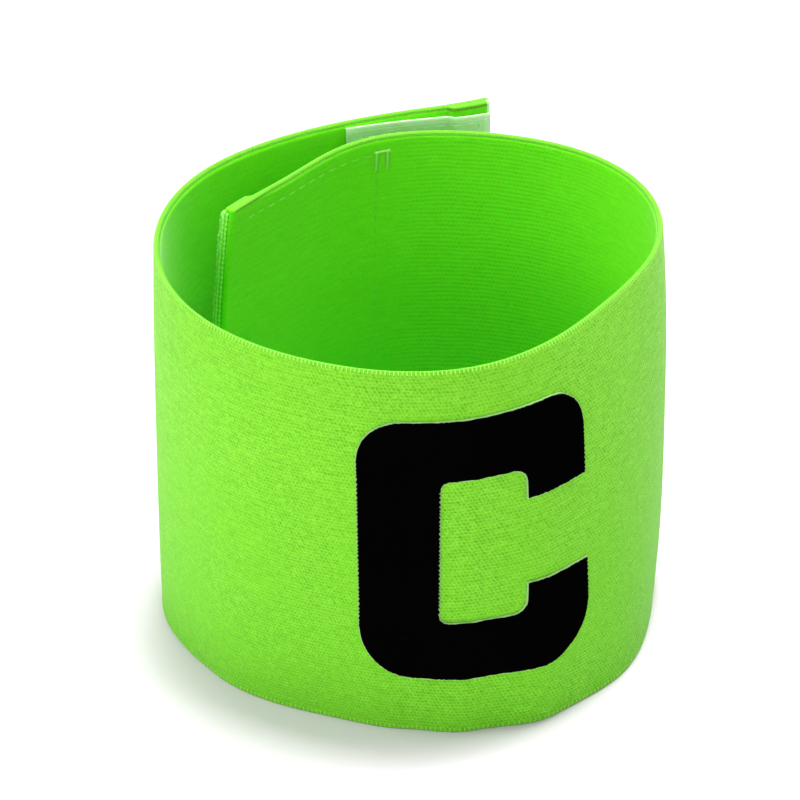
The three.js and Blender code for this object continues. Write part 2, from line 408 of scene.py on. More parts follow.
def webbingMaterial(name, look):
    sheet = NodeSheet(name)
    along, height = sheet.clothPlace()
    patches = sheet.noise(weave["patchScale"], 2.0)
    sway = sheet.noise(weave["swayScale"], 2.0)
    fibres = sheet.noise(weave["fibreScale"], 2.0, rough=0.6)
    # long soft streaks of yarn that run along the strip
    stretched = sheet.node("ShaderNodeCombineXYZ")
    sheet.feed(stretched.inputs[0], sheet.times(along, weave["streaksAlong"]))
    sheet.feed(stretched.inputs[1], sheet.times(height, weave["streaksUp"]))
    streaks = sheet.noise(1.0, 2.0, vector=stretched.outputs[0])
    # share of the ribs that shows: full where the cloth is stretched, less elsewhere
    rise = sheet.minus(along, webbing["stretchedFrom"])
    rise = sheet.over(rise, weave["riseLength"])
    fall = sheet.minus(webbing["stretchedTo"], along)
    fall = sheet.over(fall, weave["fallLength"])
    shown = sheet.between(sheet.math("MINIMUM", rise, fall), weave["leastRibs"], 1.0)
    # the rows of yarn wander a little
    wander = sheet.times(sheet.minus(sway, 0.5), weave["sway"])
    jitter = sheet.times(sheet.minus(fibres, 0.5), look["jitter"])
    row = sheet.add(sheet.over(height, look["rowPitch"]), wander)
    ribs = sheet.math("COSINE", sheet.times(row, 2 * math.pi))
    row = sheet.add(row, jitter)
    rowIndex = sheet.math("ROUND", row)
    isOdd = sheet.math("ABSOLUTE", sheet.math("MODULO", rowIndex, 2.0))
    column = sheet.add(sheet.over(along, look["columnPitch"]), jitter)
    column = sheet.add(column, sheet.times(isOdd, 0.5))
    chance = sheet.node("ShaderNodeTexWhiteNoise", noise_dimensions="2D")
    cell = sheet.node("ShaderNodeCombineXYZ")
    sheet.feed(cell.inputs[0], sheet.math("FLOOR", column))
    sheet.feed(cell.inputs[1], rowIndex)
    sheet.feed(chance.inputs["Vector"], cell.outputs[0])
    uneven = sheet.times(chance.outputs["Value"], weave["unevenness"])
    inRow = sheet.math("ABSOLUTE", sheet.minus(row, rowIndex))
    inColumn = sheet.math("ABSOLUTE", sheet.minus(sheet.math("FRACT", column), 0.5))
    # a pit between the yarns, and a raised loop of yarn half a cell away; the pits take painted
    # shade and the loops a painted highlight, as well as the bump
    pit = clothDots(sheet, inRow, inColumn, sheet.add(uneven, 0.15))
    knot = clothDots(sheet, sheet.minus(0.5, inRow), sheet.minus(0.5, inColumn),
                     sheet.minus(1.05, uneven))
    strength = sheet.add(sheet.times(patches, 1.1), 0.25)
    if look["lineTone"]:
        strength = sheet.times(strength, shown)
    pit = sheet.times(pit, strength)
    knot = sheet.times(knot, strength)
    tone = sheet.times(sheet.minus(streaks, 0.5), look["streakTone"] * weave["streakContrast"])
    # the ribs break up into streaks
    lines = sheet.times(sheet.times(ribs, shown), look["lineTone"] * weave["streakContrast"])
    lines = sheet.times(lines, streaks)
    grain = sheet.add(sheet.times(fibres, 2.0), -0.5)
    tone = sheet.between(sheet.add(tone, sheet.add(lines, grain)), 0.0, 1.0)
    colour = sheet.mix(tone, look["lit"], look["mid"])
    # painted shade: the cloth is darker towards the lower edge
    low = sheet.over(sheet.minus(weave["lowerShade"], height), weave["lowerShade"])
    low = sheet.times(sheet.math("MAXIMUM", low, 0.0), weave["lowerShadeShare"])
    colour = sheet.mix(low, colour, look["low"])
    # painted shade in the pits, painted highlight on the loops
    colour = sheet.mix(sheet.times(pit, look["pitShadeTone"]), colour, look["pitShade"])
    colour = sheet.mix(sheet.times(knot, look["glintTone"]), colour, look["loopHighlight"])
    relief = sheet.add(sheet.minus(sheet.times(knot, 0.6), pit), sheet.times(fibres, 0.5))
    sheet.bump(relief, 0.8, look["bumpDepth"])
    return sheet.base(colour, sheet.add(weave["roughness"], sheet.times(fibres, 0.25)), {
        "Sheen Weight": 0.12, "Sheen Roughness": 0.35, "Specular IOR Level": 0.14,
        "Subsurface Weight": look["through"], "Subsurface Radius": (0.12, 1.0, 0.05),
        "Subsurface Scale": 0.0010})


outerWebbing = webbingMaterial("outer_webbing", outerCloth)
innerWebbing = webbingMaterial("inner_webbing", innerCloth)
# the top lip takes a darker copy of the outer cloth: painted shade on the lip
lipShadeCloth = {
    **outerCloth,
    "lit": (0.116, 0.412, 0.0190, 1),
    "mid": (0.097, 0.370, 0.0133, 1),
    # the low colour is painted shade towards the lower edge
    "low": (0.085, 0.400, 0.0060, 1),
    "pitShadeTone": 0.12,
    "glintTone": 0.40,
    "through": 0.35,
}
lipShadeWebbing = webbingMaterial("lip_webbing_painted_shade", lipShadeCloth)


def ribRelief(height, depth):
    edge = np.minimum(height, stripShape["height"] - height)
    inside = np.clip((edge - webbing["plainEdge"]) / webbing["ribFade"], 0, 1)
    wave = np.abs(np.sin(math.pi * height / webbing["ribPitch"])) ** 0.7
    return depth * (wave - 1.0) * inside


def stationList(start, end, count, extras=()):
    places = np.concatenate([np.linspace(start, end, count), np.asarray(extras, float)])
    places = np.unique(places.round(6))
    return places[(places >= start) & (places <= end)]


def edgeThinAt(distance):
    # the folded ends keep their full thickness up to the edge
    fromEnd = min(distance, stripShape["length"] - distance)
    share = np.interp(fromEnd, [webbing["foldedTo"], webbing["thinFrom"]], [0.1, 1.0])
    return webbing["edgeThin"] * float(share)


def edgeFullness(height, thin):
    # share of the thickness left near the upper and the lower edge
    top = stripShape["height"]
    t = np.clip((height - (top - webbing["edgeTaper"])) / webbing["edgeTaper"], 0, 1)
    u = np.clip((webbing["lowerTaper"] - height) / webbing["lowerTaper"], 0, 1)
    return 1 - thin * t * t * (3 - 2 * t) - webbing["lowerThin"] * u * u


def clothRings(distances, start, end, outerAt, innerAt, bottom=0.0):
    # rings of a standing strip of webbing between two distances, with round noses at both ends
    top = stripShape["height"]
    step = webbing["ribPitch"] / webbing["pointsPerRib"]
    sideHeights = np.arange(bottom + 0.00045, top - 0.0005, step)
    lip = np.radians([12, 40, 66, 84])
    crown = top - webbing["lipRound"] + webbing["lipRound"] * np.sin(lip)
    heights = np.concatenate([[bottom, bottom + 0.00014], sideHeights, crown,
                              crown[::-1], sideHeights[::-1], [bottom + 0.00014, bottom]])
    half = len(heights) // 2
    ribsShownAt = [webbing["stretchedFrom"] - 0.006, webbing["stretchedFrom"] + 0.006,
                   webbing["stretchedTo"] - 0.012, webbing["stretchedTo"] + 0.010]
    rings, uvs = [], []
    for distance in distances:
        outer, inner = float(outerAt(distance)), float(innerAt(distance))
        nose = min(webbing["nose"], (outer - inner) * 0.7)
        fromEnd = min(distance - start, end - distance)
        full = math.sqrt(max(1 - (1 - min(fromEnd / nose, 1)) ** 2, 0.004))
        middle = (outer + inner) / 2
        soft = (outer - inner) / 2 * full
        thin = edgeThinAt(distance)
        thick = soft * edgeFullness(heights[:half], thin)
        thick[:2] *= (0.62, 0.92)
        thick[-4:] = soft * (1 - thin) * np.cos(lip) ** (0.5 + 0.5 * thin / webbing["edgeThin"])
        shown = np.interp(distance, ribsShownAt, [0.15, 1, 1, 0.15])
        outerRibs = np.zeros(half)
        innerRibs = np.zeros(half)
        outerRibs[2:-4] = ribRelief(sideHeights, webbing["outerRib"])
        innerRibs[2:-4] = ribRelief(sideHeights, webbing["innerRib"]) * shown
        # the edge keeps the cloth's outer face in place and thins from inside
        hug = middle + (soft - thick) * 0.5
        outside = hug + thick + outerRibs * full
        inside = hug - thick - innerRibs * full
        offsets = np.concatenate([outside, inside[::-1]])
        inward = np.concatenate([outerRibs, outerRibs[::-1]]) * webbing["noseRibs"] * (1 - full)
        at = distance + (inward if distance - start > end - distance else -inward)
        rings.append(wallPoint(at, heights, offsets))
        uvs.append(np.stack([np.full(len(heights), distance), heights], -1))
    return np.array(rings), np.array(uvs)


def noseStations(start, end):
    ends = webbing["nose"] * (1 - np.cos(np.linspace(0, math.pi / 2, 6)))
    return [*(start + ends), *(end - ends)]


hem = {
    "layer": 0.00068,
    "bite": 0.00030,  # how far the layer sinks into the strip
    "tail": 0.0010,
    "tailEdge": 0.00010,
    "sealed": 0.0009,  # the outer end's last stretch, fused with the tape
    "clearance": 0.0001,
    "innerFold": 0.0005,
    "outerFold": 0.0004,
}
# the lip kind carries the painted shade of the top lip
clothKinds = {"outside": 0, "inside": 1, "tape": 2, "lip": 3}


def clothMaterials():
    return [outerWebbing, innerWebbing, hookTape, lipShadeWebbing]


def makeStrip():
    length, top, half = stripShape["length"], stripShape["height"], stripShape["cloth"] / 2
    distances = stationList(0, length, webbing["stations"], [*noseStations(0, length), 0.00055])
    rings, uvs = clothRings(distances, 0, length, lambda distance: half, lambda distance: -half)
    stations, ring = rings.shape[:2]
    faces = ringFaces(stations, ring)
    isLip = uvs[0, :, 1] > top - webbing["lip"]
    isInside = np.arange(ring) >= ring // 2
    kinds = np.where(isInside, clothKinds["inside"], clothKinds["outside"])
    kinds = np.tile(np.where(isLip, clothKinds["lip"], kinds), stations - 1)
    isFold = (distances[:-1] < hem["innerFold"]) | (distances[:-1] > length - hem["outerFold"])
    folded = np.repeat(isFold, ring)
    kinds = np.where(folded, clothKinds["inside"], kinds)
    kinds = np.concatenate([kinds, np.full(len(faces) - len(kinds), clothKinds["inside"])])
    piece = makeObject("webbing_strip", rings, faces, clothMaterials(), kinds, uvs)
    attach(piece, "root")
    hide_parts("elastic_strip")
    return piece


def makeHem(name, start, end, foldsOutward):
    # the second layer of cloth at an end; its tail thins into the strip
    half = stripShape["cloth"] / 2
    side = 1 if foldsOutward else -1

    def rise(distance):
        fromTail = end - distance if foldsOutward else distance - start
        t = np.clip(fromTail / hem["tail"], 0, 1)
        return hem["tailEdge"] + (hem["layer"] - hem["tailEdge"]) * t * t * (3 - 2 * t)

    def near(distance):
        return side * (half - hem["bite"])

    def far(distance):
        return side * (half + rise(distance))

    distances = stationList(start, end, 14, noseStations(start, end))
    outerAt, innerAt = (far, near) if foldsOutward else (near, far)
    rings, uvs = clothRings(distances, start, end, outerAt, innerAt, hem["clearance"])
    stations, ring = rings.shape[:2]
    faces = ringFaces(stations, ring)
    isLip = uvs[0, :, 1] >= stripShape["height"] - webbing["lip"]
    plain = clothKinds["outside" if foldsOutward else "inside"]
    kinds = np.tile(np.where(isLip, clothKinds["lip"], plain), stations - 1)
    sealed = np.repeat(distances[:-1] > stripShape["length"] - hem["sealed"], ring)
    folded = np.repeat(distances[:-1] < hem["innerFold"], ring)
    kinds = np.where(sealed, clothKinds["tape"], np.where(folded, clothKinds["inside"], kinds))
    ends = clothKinds["inside" if foldsOutward else "tape"]
    kinds = np.concatenate([kinds, np.full(len(faces) - len(kinds), ends)])
    piece = makeObject(name, rings, faces, clothMaterials(), kinds, uvs)
    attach(piece, "root")
    return piece


# Selvedge: one small pale thread loop at each weft, outside
selvedge = {
    "pitch": 0.00068,
    "thread": 0.000100,
    "reach": 0.00056,
    "lowerReach": 0.00095,
    "lowerPitch": 0.00080,
    "lowerThread": 0.000085,
    "colour": (0.360, 0.800, 0.110, 1),
    "deeper": (0.260, 0.680, 0.050, 1),
}


def threadMaterial(name, colour, deeper, roughness=0.55):
    sheet = NodeSheet(name)
    fibres = sheet.noise(3200.0, 2.0)
    runs = sheet.noise(160.0, 2.0)
    tone = sheet.add(sheet.times(fibres, 0.6), sheet.times(runs, 0.4))
    sheet.bump(fibres, 0.4, 0.00004)
    rough = sheet.add(roughness - 0.1, sheet.times(fibres, 0.25))
    return sheet.base(sheet.mix(tone, colour, deeper), rough,
                      {"Sheen Weight": 0.08, "Specular IOR Level": 0.25})


selvedgeThread = threadMaterial("selvedge_thread", selvedge["colour"], selvedge["deeper"])


def makeSelvedge(name, isTop):
    top, half = stripShape["height"], stripShape["cloth"] / 2
    if isTop:
        # up the outer face and over the thin lip
        pitch, thread = selvedge["pitch"], selvedge["thread"]
        thin = half * (1 - webbing["edgeThin"])
        hug = (half - thin) * 0.5
        heights = top - np.array([selvedge["reach"], 0.00036, 0.00014, 0.00006, 0.00008])
        offsets = np.array([half - 0.00004, hug + thin + 0.00001, hug + thin * 0.80,
                            hug + thin * 0.45, hug + thin * 0.10])
    else:
        # down the outer face and under the lower edge
        pitch, thread = selvedge["lowerPitch"], selvedge["lowerThread"]
        heights = np.array([selvedge["lowerReach"], 0.00055, 0.00024, 0.00008, 0.00008])
        offsets = np.array([half - 0.00003, half + 0.00003, half * 0.86, half * 0.4, -half * 0.3])
    paths = [wallPoint(np.full(len(heights), index * pitch), heights, offsets)
             for index in range(2, int(stripShape["length"] / pitch) - 1)]
    piece = makeThreads(name, paths, thread, selvedgeThread)
    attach(piece, "root")


# Patches: brushed loops outside the inner end, moulded hooks inside the outer end
loopPatch = {
    "start": 0.0007,
    "length": 0.0355,
    "margin": 0.0016,
    "lift": 0.00015,
    "thickness": 0.0006,
    "colour": (0.38, 0.92, 0.17, 1),
    "deeper": (0.24, 0.80, 0.08, 1),
    "stray": (0.46, 0.95, 0.26, 1),
    "hemFrom": 0.0048,
    "hemTo": 0.0063,
    "loops": 3600,
    "seed": 7,
    "loopHeight": 0.0005,
    "loopThread": 0.000028,
}
hookPatch = {
    "length": 0.0256,
    "setback": 0.0003,
    "margin": 0.0014,
    "slant": 0.0006,  # sewn on a little askew
    "lift": 0.00015,
    "thickness": 0.00035,
    "colour": (0.560, 0.840, 0.500, 1),
    "deeper": (0.430, 0.750, 0.340, 1),
    "plastic": (0.36, 0.66, 0.28, 1),
    "hookPitch": 0.00110,
    "hookHeight": 0.00042,
    "hookLean": 0.0004,
    "hookThread": 0.00006,
    "stem": 0.45,  # share of a hook that stands upright before it bends
    "bareEdge": 0.0042,  # no hooks along the sewn border
    "ribPitch": 0.0006,
}


def sheetRings(distances, bottom, top, near, far, rows, roundness):
    # near and far are offsets per distance; the corners are rounded by roundness
    heights = np.linspace(bottom + roundness, top - roundness, rows)
    rings, uvs = [], []
    for distance, first, second in zip(distances, near, far):
        low, high = min(first, second), max(first, second)
        pull = (high - low) * 0.25
        h = np.concatenate([[bottom], heights, [top], [top], heights[::-1], [bottom]])
        o = np.concatenate([[high - pull], np.full(rows, high), [high - pull],
                            [low + pull], np.full(rows, low), [low + pull]])
        rings.append(wallPoint(np.full(len(h), distance), h, o))
        uvs.append(np.stack([np.full(len(h), distance), h], -1))
    return np.array(rings), np.array(uvs)


def pileMaterial():
    sheet = NodeSheet("loop_pile")
    clumps = sheet.noise(900.0, 4.0, rough=0.65)
    broad = sheet.noise(120.0, 2.0)
    tone = sheet.add(sheet.times(clumps, 0.7), sheet.times(broad, 0.3))
    sheet.bump(clumps, 0.9, 0.0003)
    rough = sheet.add(0.75, sheet.times(clumps, 0.2))
    return sheet.base(sheet.mix(tone, loopPatch["colour"], loopPatch["deeper"]), rough,
                      {"Sheen Weight": 0.15, "Sheen Roughness": 0.4, "Specular IOR Level": 0.2})


def hookTapeMaterial():
    sheet = NodeSheet("hook_tape")
    height = sheet.clothPlace()[1]
    ribs = sheet.math("SINE", sheet.times(height, math.pi / hookPatch["ribPitch"]))
    ribs = sheet.math("ABSOLUTE", ribs)
    cloudy = sheet.noise(330.0, 3.0)
    specks = sheet.noise(1500.0, 2.0)
    tone = sheet.add(sheet.times(cloudy, 1.6), sheet.times(specks, 0.5))
    tone = sheet.between(sheet.minus(tone, 0.55), 0.0, 1.0)
    sheet.bump(sheet.add(ribs, specks), 0.25, 0.0001)
    rough = sheet.add(0.38, sheet.times(cloudy, 0.25))
    return sheet.base(sheet.mix(tone, hookPatch["colour"], hookPatch["deeper"]), rough,
                      {"Specular IOR Level": 0.5})


loopPile = pileMaterial()
hookTape = hookTapeMaterial()
loopThread = threadMaterial("loop_thread", loopPatch["stray"], loopPatch["colour"], 0.7)
hookPlastic = threadMaterial("hook_plastic", hookPatch["plastic"], hookPatch["colour"], 0.4)


def makeLoopPatch():
    start, end = loopPatch["start"], loopPatch["start"] + loopPatch["length"]
    bottom, top = loopPatch["margin"], stripShape["height"] - loopPatch["margin"]
    overHem = np.arange(loopPatch["hemFrom"], loopPatch["hemTo"], 0.00025)
    distances = stationList(start, end, 30, overHem)
    near = outerFace(distances) + loopPatch["lift"]
    rings, uvs = sheetRings(distances, bottom, top, near, near + loopPatch["thickness"], 60, 0.0002)
    faces = ringFaces(*rings.shape[:2])
    piece = makeObject("loop_patch_backing", rings, faces, [loopPile], uv=uvs)
    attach(piece, "root")
    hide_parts("loop_patch")
    # tangled loops over the whole face, more of them along the edges
    draw = random.Random(loopPatch["seed"])
    paths = []
    for index in range(loopPatch["loops"]):
        at = draw.uniform(start + 0.0002, end - 0.0002)
        height = draw.uniform(bottom + 0.0002, top - 0.0002)
        if index % 3 == 0:
            height = top - draw.uniform(0.0, 0.0006)
        elif index % 3 == 1:
            at = start + draw.uniform(0.0, 0.0006)
        turn = draw.uniform(0, 2 * math.pi)
        wide = draw.uniform(0.0002, 0.0005)
        tall = loopPatch["loopHeight"] * draw.uniform(0.5, 1.1)
        base = float(outerFace(at)) + loopPatch["lift"] + loopPatch["thickness"] - 0.00005
        t = np.linspace(0, math.pi, 6)
        across = np.cos(t) * wide
        paths.append(wallPoint(at + across * math.cos(turn),
                               np.clip(height + across * math.sin(turn), 0.0003, 0.0699),
                               base + np.sin(t) * tall))
    pile = makeThreads("loop_patch_pile", paths, loopPatch["loopThread"], loopThread, 3)
    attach(pile, "root")


def makeHookPatch():
    end = stripShape["length"] - hookPatch["setback"]
    start = end - hookPatch["length"]
    bottom, top = hookPatch["margin"], stripShape["height"] - hookPatch["margin"]
    step = stripShape["length"] - stripShape["outerHem"]
    distances = stationList(start, end, 22, np.arange(step - 0.0002, step + 0.0012, 0.00025))
    near = innerFace(distances) - hookPatch["lift"]
    rings, uvs = sheetRings(distances, bottom, top, near, near - hookPatch["thickness"], 40, 0.0002)
    askew = np.interp(distances, [start, end], [1, -1]) * hookPatch["slant"]
    rings[:, :, 2] += askew[:, None] * np.clip(uvs[:, :, 1] / stripShape["height"] * 2 - 1, 0, 1)
    faces = ringFaces(*rings.shape[:2])
    piece = makeObject("hook_patch_tape", rings, faces, [hookTape], uv=uvs)
    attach(piece, "root")
    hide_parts("hook_patch")
    # each hook is an upright stem that bends over, by turns one way and the other
    pitch, edge, stem = hookPatch["hookPitch"], hookPatch["bareEdge"], hookPatch["stem"]
    t = np.linspace(0, 1, 6)
    bend = np.clip(t - stem, 0, 1) / (1 - stem) * math.pi
    rise = np.where(t < stem, t / stem * 0.62, 0.62 + 0.38 * np.sin(bend)) * hookPatch["hookHeight"]
    lean = np.where(t < stem, 0, (1 - np.cos(bend)) * 0.5) * hookPatch["hookLean"]
    rows = int((top - bottom - edge * 2) / pitch)
    columns = int((hookPatch["length"] - edge * 2) / pitch)
    paths = []
    for row in range(rows + 1):
        for column in range(columns + 1):
            at = start + edge + column * pitch
            height = bottom + edge + row * pitch
            way = 1 if (row + column) % 2 else -1
            base = float(innerFace(at)) - hookPatch["lift"] - hookPatch["thickness"] + 0.00005
            paths.append(wallPoint(at + lean * way, np.full(6, height), base - rise))
    hooks = makeThreads("hook_patch_hooks", paths, hookPatch["hookThread"], hookPlastic)
    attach(hooks, "root")


makeLoopPatch()
makeHookPatch()
print("patches made,", loopPatch["loops"], "loops")
webbingStrip = makeStrip()
innerHem = makeHem("inner_hem", 0.0, stripShape["innerHem"], True)
outerHem = makeHem("outer_hem", stripShape["length"] - stripShape["outerHem"], stripShape["length"],
                   False)
print("webbing strip and hems made,", len(webbingStrip.data.polygons), "faces")
makeSelvedge("upper_selvedge", True)
makeSelvedge("lower_selvedge", False)
print("selvedges made")

# Letter: a plain block C, its pale edge under it
letter = {
    "width": 0.0385,
    "height": 0.0497,
    "leftAlong": 0.1752,
    "baseHeight": 0.0113,
    "stem": 0.0130,
    "bar": 0.0111,
    "terminalWidth": 0.0114,
    "terminalDrop": 0.0168,
    "upperRadius": 0.0074,
    "lowerRadius": 0.0093,
    "counterRadius": 0.0016,
    "mouthRadius": 0.0026,
    "lift": 0.00012,
    "thickness": 0.00028,
    "edgeWidth": 0.00017,
    "columnPitch": 0.0006,
    "toothPitch": 0.00078,  # the print runs into the cloth's grooves along its edge
    "toothDepth": 0.00017,
    "threadPitch": 0.00066,
    "ink": (0.0005, 0.0004, 0.0005, 1),
    "inkWorn": (0.0014, 0.0012, 0.0013, 1),
    "edge": (0.40, 0.62, 0.30, 1),
    "edgeWorn": (0.24, 0.50, 0.13, 1),
    "area": 0.00135,  # of the print, without its counter
}


def cornerCut(fromSide, radius):
    rest = radius - min(max(fromSide, 0.0), radius)
    return radius - math.sqrt(max(radius * radius - rest * rest, 0.0))


def letterColumns(grow):
    # grow widens the outline all round; each column holds its place, its four levels down from
    # the letter's top, and whether it is solid
    width, stem = letter["width"] + 2 * grow, letter["stem"] + 2 * grow
    upper, lower = letter["upperRadius"] + grow, letter["lowerRadius"] + grow
    inner, mouth = letter["counterRadius"] - grow, letter["mouthRadius"] - grow
    terminalLeft = width - letter["terminalWidth"] - 2 * grow
    counterEnd = terminalLeft - 0.00006
    tall = letter["height"] + 2 * grow
    arc = 1 - np.cos(np.linspace(0, math.pi / 2, 12))
    across = np.concatenate([
        upper * arc, width - upper * arc, lower * arc, width - lower * arc, stem + inner * arc,
        counterEnd - mouth * arc, np.arange(letter["columnPitch"], width, letter["columnPitch"])])
    fixed = [0.0, stem, counterEnd, terminalLeft, width]
    across = np.unique(np.concatenate([across[(across >= 0) & (across <= width)], fixed]).round(7))
    kept = [u for u in across if any(abs(u - f) < 1e-6 for f in fixed)
            or all(abs(u - f) > 0.00004 for f in fixed)]
    columns = []
    for u in kept:
        fromSide = min(u, width - u)
        counter = max(cornerCut(u - stem, inner), cornerCut(counterEnd - u, mouth))
        onTerminal = u > counterEnd + 1e-5
        reach = (letter["terminalDrop"] if onTerminal else letter["bar"] + counter) + 2 * grow
        levels = [cornerCut(fromSide, upper), reach, tall - reach,
                  tall - cornerCut(fromSide, lower)]
        columns.append((u - grow, levels, u < stem - 1e-6))
    return columns


def toothAt(place):
    # a small uneven saw tooth, from -1 to 1
    phase = place / letter["toothPitch"]
    phase += 0.13 * np.sin(place * 2100.0) + 0.21 * np.sin(place * 830.0 + 1.0)
    return np.clip(2.0 * np.abs(2.0 * (phase - np.floor(phase)) - 1.0) - 1.0, -1, 1)


def letterMesh(grow, near, thickness, rows=(72, 150, 72)):
    columns = letterColumns(grow)
    per = sum(rows) + 1
    head, sill = rows[0], rows[0] + rows[1]
    inside = next(i for i, column in enumerate(columns) if not column[2])
    last = len(columns) - 1
    points, uvs = [], []
    for index, (across, levels, _) in enumerate(columns):
        # upright sides carry full teeth, level ones lower teeth
        down = np.concatenate([np.linspace(levels[k], levels[k + 1], rows[k], endpoint=False)
                               for k in range(3)] + [[levels[3]]])
        heights = letter["baseHeight"] + letter["height"] + grow - down
        distance = letter["leftAlong"] - across
        teeth = toothAt(heights) * letter["toothDepth"]
        shift = np.zeros(per)
        if index == 0:
            shift += teeth
        if index == last:
            shift -= toothAt(heights + 0.0003) * letter["toothDepth"]
        if index == inside:
            middle = (np.arange(per) >= head) & (np.arange(per) <= sill)
            shift += np.where(middle, toothAt(heights + 0.0005) * letter["toothDepth"], 0)
        if inside < index < last or index < inside:
            wave = toothAt(np.full(1, distance + 0.0002))[0] * letter["toothDepth"] * 0.45
            edge = np.zeros(per)
            edge[0] = edge[-1] = wave
            if not columns[index][2]:
                edge[head] = edge[sill] = -wave
            heights = heights + edge
        for lift in (near + thickness, near):
            at = distance + shift
            points.append(wallPoint(at, heights, outerFace(at) + lift))
            uvs.append(np.stack([at, heights], -1))
    faces = []

    def front(column, level):
        return column * per * 2 + level

    def back(column, level):
        return front(column, level) + per

    def wall(first, second, turned=False):
        # a quad through the print's thickness, between two places on its outline
        quad = [front(*first), front(*second), back(*second), back(*first)]
        faces.append([quad[i] for i in (0, 3, 2, 1)] if turned else quad)

    for c in range(last):
        solid = columns[c][2]
        for k in range(per - 1):
            if solid or not head <= k < sill:
                faces.append([front(c, k), front(c, k + 1), front(c + 1, k + 1), front(c + 1, k)])
                faces.append([back(c, k), back(c + 1, k), back(c + 1, k + 1), back(c, k + 1)])
        wall((c, 0), (c + 1, 0))
        wall((c, per - 1), (c + 1, per - 1), turned=True)
        if not solid:
            wall((c, head), (c + 1, head), turned=True)
            wall((c, sill), (c + 1, sill))
    for k in range(per - 1):
        wall((0, k), (0, k + 1), turned=True)
        side = inside if head <= k < sill else last
        wall((side, k), (side, k + 1))
    return np.concatenate(points), faces, np.concatenate(uvs)


def inkMaterial(name, colour, worn, roughness):
    sheet = NodeSheet(name)
    along, height = sheet.clothPlace()
    ribs = sheet.math("SINE", sheet.times(height, math.pi / webbing["ribPitch"]))
    ribs = sheet.math("ABSOLUTE", ribs)
    threads = sheet.math("SINE", sheet.times(along, 2 * math.pi / letter["threadPitch"]))
    grain = sheet.noise(1800.0, 3.0)
    cloudy = sheet.noise(60.0, 3.0)
    sheet.bump(sheet.add(ribs, sheet.times(threads, 0.3), sheet.times(grain, 0.8)), 0.35, 0.00005)
    rough = sheet.add(roughness, sheet.times(grain, 0.2))
    tone = sheet.add(sheet.times(grain, 0.5), sheet.times(cloudy, 0.5))
    return sheet.base(sheet.mix(tone, colour, worn), rough, {"Specular IOR Level": 0.0})


letterInk = inkMaterial("letter_ink", letter["ink"], letter["inkWorn"], 0.6)
letterEdge = inkMaterial("letter_edge", letter["edge"], letter["edgeWorn"], 0.5)


def makeLetter():
    points, faces, uvs = letterMesh(0.0, letter["lift"], letter["thickness"])
    piece = makeObject("block_letter", points, faces, [letterInk], uv=uvs, smooth=False)
    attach(piece, "root")
    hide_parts("captain_letter")
    points, faces, uvs = letterMesh(letter["edgeWidth"], 0.00003, letter["lift"] + 0.0001)
    rim = makeObject("block_letter_edge", points, faces, [letterEdge], uv=uvs, smooth=False)
    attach(rim, "root")


makeLetter()
print("letter made")

# Stitching of both ends. Rows run along the strip or up it
stitching = {
    "length": 0.0014,
    "gap": 0.0010,
    "thread": 0.00013,
    "fromEdge": 0.0033,
    "innerStart": 0.0012,
    "innerStop": 0.0352,
    "outerStart": 0.2866,
    "outerStop": 0.3087,
    "tackLength": 0.0036,
    "tackWidth": 0.0020,
    "tackSwing": 0.00022,
    "seamThread": 0.00008,
    "beadPitch": 0.00095,
    "beadNeck": 0.00004,
    "bead": 0.00023,
    "colour": (0.24, 0.80, 0.07, 1),
    "deeper": (0.15, 0.70, 0.03, 1),
    "paleColour": (0.40, 0.96, 0.18, 1),
    "paleDeeper": (0.29, 0.90, 0.10, 1),
    "seamColour": (0.13, 0.66, 0.035, 1),
    "seamDeeper": (0.08, 0.56, 0.015, 1),
}
sewingThread = threadMaterial("sewing_thread", stitching["colour"], stitching["deeper"])
tackThread = threadMaterial("tack_thread", stitching["paleColour"], stitching["paleDeeper"])
seamThread = threadMaterial("seam_thread", stitching["seamColour"], stitching["seamDeeper"])


def stitchRow(start, stop, face, lift=0.0):
    # start and stop are (distance, height); face gives the cloth's offset
    start, stop = np.array(start), np.array(stop)
    total = float(np.linalg.norm(stop - start))
    pace = stitching["length"] + stitching["gap"]
    count = max(int(total / pace), 1)
    paths = []
    for index in range(count):
        t = np.linspace(index, index + stitching["length"] / pace, 7) / count
        where = start[None, :] + (stop - start)[None, :] * t[:, None]
        level = face(where[:, 0])
        sign = np.sign(level)
        arch = np.sin(np.linspace(0, math.pi, 7)) ** 0.6 * 0.00012 - 0.00005 + lift
        paths.append(wallPoint(where[:, 0], where[:, 1], level + sign * arch))
    return paths


def loopPatchFace(distance):
    end = loopPatch["start"] + loopPatch["length"]
    onPatch = (distance > loopPatch["start"]) & (distance < end)
    return outerFace(distance) + np.where(onPatch, loopPatch["lift"] + loopPatch["thickness"], 0)


def hookPatchFace(distance):
    end = stripShape["length"] - hookPatch["setback"]
    onPatch = (distance < end) & (distance > end - hookPatch["length"])
    return innerFace(distance) - np.where(onPatch, hookPatch["lift"] + hookPatch["thickness"], 0)


def boxOfRows(startAt, stopAt, face, low, high):
    # the rows along the strip, and apart from them the two that run up it
    rows = stitchRow((startAt, high), (stopAt, high), face)
    rows += stitchRow((stopAt, low), (startAt, low), face)
    upright = stitchRow((stopAt, high), (stopAt, low), face, -0.00003)
    upright += stitchRow((startAt, low), (startAt, high), face, -0.00003)
    return rows, upright


